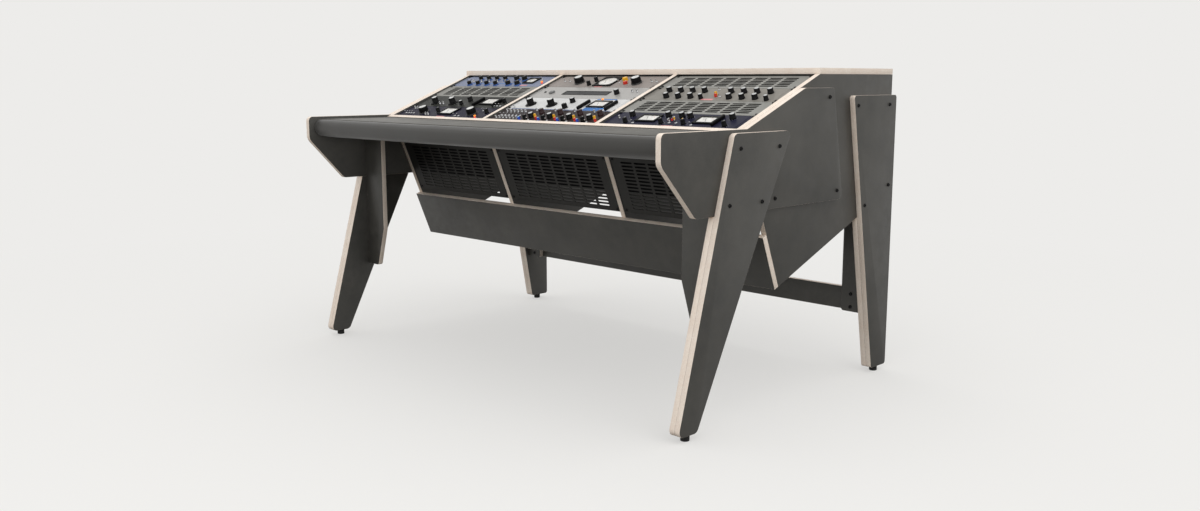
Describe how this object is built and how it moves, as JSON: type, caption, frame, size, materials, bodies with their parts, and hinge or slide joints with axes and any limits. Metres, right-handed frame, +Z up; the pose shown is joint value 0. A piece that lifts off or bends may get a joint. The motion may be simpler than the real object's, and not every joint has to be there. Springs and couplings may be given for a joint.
{
  "type": "studio desk",
  "caption": "Plywood studio desk with leaning legs, padded front edge, and three sloping 19-inch rack bays filled with control units and slotted vent panels.",
  "frame": {"origin": "on the floor under the middle of the desk", "axes": "+X to the right seen from the front, +Y to the rear, +Z up"},
  "size_m": [1.5842, 1.02, 0.8914],
  "materials": {
    "laminate_plywood": "dark grey laminate faces with pale layered birch edges, satin",
    "padding": "dark grey padded leather-like cover, matt",
    "vent_steel": "light grey painted sheet, satin",
    "vent_black": "dark grey painted sheet, satin",
    "rail_zinc": "zinc plated steel",
    "unit_navy": "dark blue painted panel, satin",
    "unit_moss": "dark grey-green painted panel, satin",
    "unit_blue": "grey-blue painted panel, satin",
    "unit_brown": "dark brown painted panel, satin",
    "unit_white": "off-white painted panel, satin",
    "unit_silver": "brushed aluminium panel",
    "unit_grey": "mid grey painted panel, satin",
    "unit_sand": "grey-beige painted panel, satin",
    "knob_black": "black moulded plastic",
    "foot_black": "black foot on a steel stem"
  },
  "bodies": {
    "desk": {"carcass_side_left": "laminate_plywood", "carcass_side_right": "laminate_plywood", "divider_left": "laminate_plywood", "divider_right": "laminate_plywood", "top_board": "laminate_plywood", "top_batten_left": "laminate_plywood", "top_batten_middle": "laminate_plywood", "top_batten_right": "laminate_plywood", "arm_panel_left": "laminate_plywood", "arm_panel_right": "laminate_plywood", "front_leg_outer_left": "laminate_plywood", "front_leg_outer_right": "laminate_plywood", "front_leg_inner_left": "laminate_plywood", "front_leg_inner_right": "laminate_plywood", "rear_leg_outer_left": "laminate_plywood", "rear_leg_outer_right": "laminate_plywood", "rear_leg_inner_left": "laminate_plywood", "rear_leg_inner_right": "laminate_plywood", "desktop": "laminate_plywood", "armrest": "padding", "front_gusset_left": "laminate_plywood", "front_gusset_right": "laminate_plywood", "rear_gusset_left": "laminate_plywood", "rear_gusset_right": "laminate_plywood", "rear_crossbar": "laminate_plywood", "sill_board": "laminate_plywood", "kick_board": "laminate_plywood", "rack_rail_left_bay_left": "rail_zinc", "rack_rail_left_bay_right": "rail_zinc", "rack_rail_middle_bay_left": "rail_zinc", "rack_rail_middle_bay_right": "rail_zinc", "rack_rail_right_bay_left": "rail_zinc", "rack_rail_right_bay_right": "rail_zinc", "lower_vent_left": "vent_black", "lower_vent_middle": "vent_black", "lower_vent_right": "vent_black", "rack_vent_left_bay_3": "vent_steel", "rack_vent_right_bay_2": "vent_steel", "rack_vent_right_bay_4": "vent_steel", "rack_unit_left_bay_1": "unit_navy", "rack_unit_left_bay_2": "unit_moss", "rack_unit_left_bay_4": "unit_blue", "rack_unit_middle_bay_1": "unit_brown", "rack_unit_middle_bay_2": "unit_white", "rack_unit_middle_bay_3": "unit_silver", "rack_unit_middle_bay_4": "unit_grey", "rack_unit_right_bay_1": "unit_navy", "rack_unit_right_bay_3": "unit_sand"},
    "foot_front_left": {"foot_front_left": "foot_black"},
    "foot_front_right": {"foot_front_right": "foot_black"},
    "foot_rear_left": {"foot_rear_left": "foot_black"},
    "foot_rear_right": {"foot_rear_right": "foot_black"},
    "knob_left_bay_1_1": {"knob_left_bay_1_1": "knob_black"},
    "knob_left_bay_1_2": {"knob_left_bay_1_2": "knob_black"},
    "knob_left_bay_2_1": {"knob_left_bay_2_1": "knob_black"},
    "knob_left_bay_2_2": {"knob_left_bay_2_2": "knob_black"},
    "knob_middle_bay_2_1": {"knob_middle_bay_2_1": "knob_black"},
    "knob_middle_bay_2_2": {"knob_middle_bay_2_2": "knob_black"},
    "knob_middle_bay_4_1": {"knob_middle_bay_4_1": "knob_black"},
    "knob_middle_bay_4_2": {"knob_middle_bay_4_2": "knob_black"}
  },
  "joints": [
    {"name": "turn_foot_front_left", "type": "hinge", "parent": "desk", "child": "foot_front_left", "pos_m": [-0.77595, -0.4135, 0.03], "axis": [0, 0, 1], "continuous": true},
    {"name": "turn_foot_front_right", "type": "hinge", "parent": "desk", "child": "foot_front_right", "pos_m": [0.77595, -0.4135, 0.03], "axis": [0, 0, 1], "continuous": true},
    {"name": "turn_foot_rear_left", "type": "hinge", "parent": "desk", "child": "foot_rear_left", "pos_m": [-0.75965, 0.4705, 0.03], "axis": [0, 0, 1], "continuous": true},
    {"name": "turn_foot_rear_right", "type": "hinge", "parent": "desk", "child": "foot_rear_right", "pos_m": [0.75965, 0.4705, 0.03], "axis": [0, 0, 1], "continuous": true},
    {"name": "turn_knob_left_bay_1_1", "type": "hinge", "parent": "desk", "child": "knob_left_bay_1_1", "pos_m": [-0.61731, -0.15461, 0.75132], "axis": [0, -0.3746, 0.9272], "range_deg": [-150, 150]},
    {"name": "turn_knob_left_bay_1_2", "type": "hinge", "parent": "desk", "child": "knob_left_bay_1_2", "pos_m": [-0.35815, -0.15461, 0.75132], "axis": [0, -0.3746, 0.9272], "range_deg": [-150, 150]},
    {"name": "turn_knob_left_bay_2_1", "type": "hinge", "parent": "desk", "child": "knob_left_bay_2_1", "pos_m": [-0.65061, -0.08076, 0.78116], "axis": [0, -0.3746, 0.9272], "range_deg": [-150, 150]},
    {"name": "turn_knob_left_bay_2_2", "type": "hinge", "parent": "desk", "child": "knob_left_bay_2_2", "pos_m": [-0.55409, -0.08076, 0.78116], "axis": [0, -0.3746, 0.9272], "range_deg": [-150, 150]},
    {"name": "turn_knob_middle_bay_2_1", "type": "hinge", "parent": "desk", "child": "knob_middle_bay_2_1", "pos_m": [-0.15926, -0.07586, 0.78314], "axis": [0, -0.3746, 0.9272], "range_deg": [-150, 150]},
    {"name": "turn_knob_middle_bay_2_2", "type": "hinge", "parent": "desk", "child": "knob_middle_bay_2_2", "pos_m": [-0.06274, -0.07668, 0.78281], "axis": [0, -0.3746, 0.9272], "range_deg": [-150, 150]},
    {"name": "turn_knob_middle_bay_4_1", "type": "hinge", "parent": "desk", "child": "knob_middle_bay_4_1", "pos_m": [-0.111, 0.08981, 0.85007], "axis": [0, -0.3746, 0.9272], "range_deg": [-150, 150]},
    {"name": "turn_knob_middle_bay_4_2", "type": "hinge", "parent": "desk", "child": "knob_middle_bay_4_2", "pos_m": [0.14044, 0.08736, 0.84908], "axis": [0, -0.3746, 0.9272], "range_deg": [-150, 150]}
  ]
}
